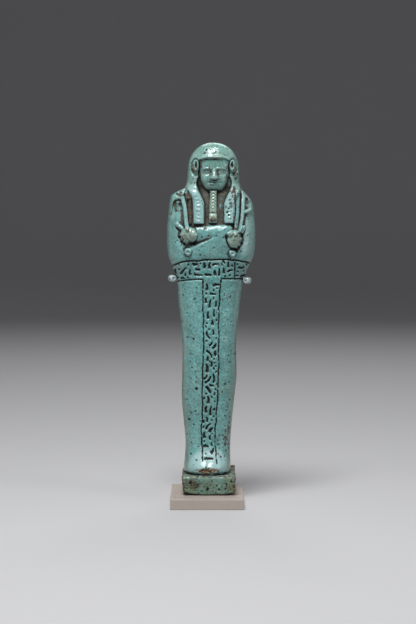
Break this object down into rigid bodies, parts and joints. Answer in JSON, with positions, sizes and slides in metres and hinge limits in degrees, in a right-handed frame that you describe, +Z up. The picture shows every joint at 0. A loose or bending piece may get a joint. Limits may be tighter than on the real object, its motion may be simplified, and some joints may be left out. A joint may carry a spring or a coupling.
{
  "type": "ushabti figurine on museum mount",
  "caption": "Mummiform faience funerary figurine with wig, beard, crossed arms and inscribed column, held upright by a rod with sleeved arms on a flat foot block.",
  "frame": {"origin": "centre of the foot block's underside", "axes": "+Z up, figure faces -Y, +X to the right of someone who looks at its face"},
  "size_m": [0.0486, 0.05, 0.1977],
  "materials": {
    "faience": "satin turquoise glaze, worn, with dark pores and brown deposits",
    "beige_paint": "matte warm beige paint",
    "brass": "satin brass rod and wire",
    "clear_tube": "clear soft plastic tube"
  },
  "bodies": {
    "root": {"figurine": "faience", "mount_foot": "beige_paint", "mount_bracket": "brass", "clip_sleeve_left": "clear_tube", "clip_sleeve_right": "clear_tube"}
  },
  "joints": []
}
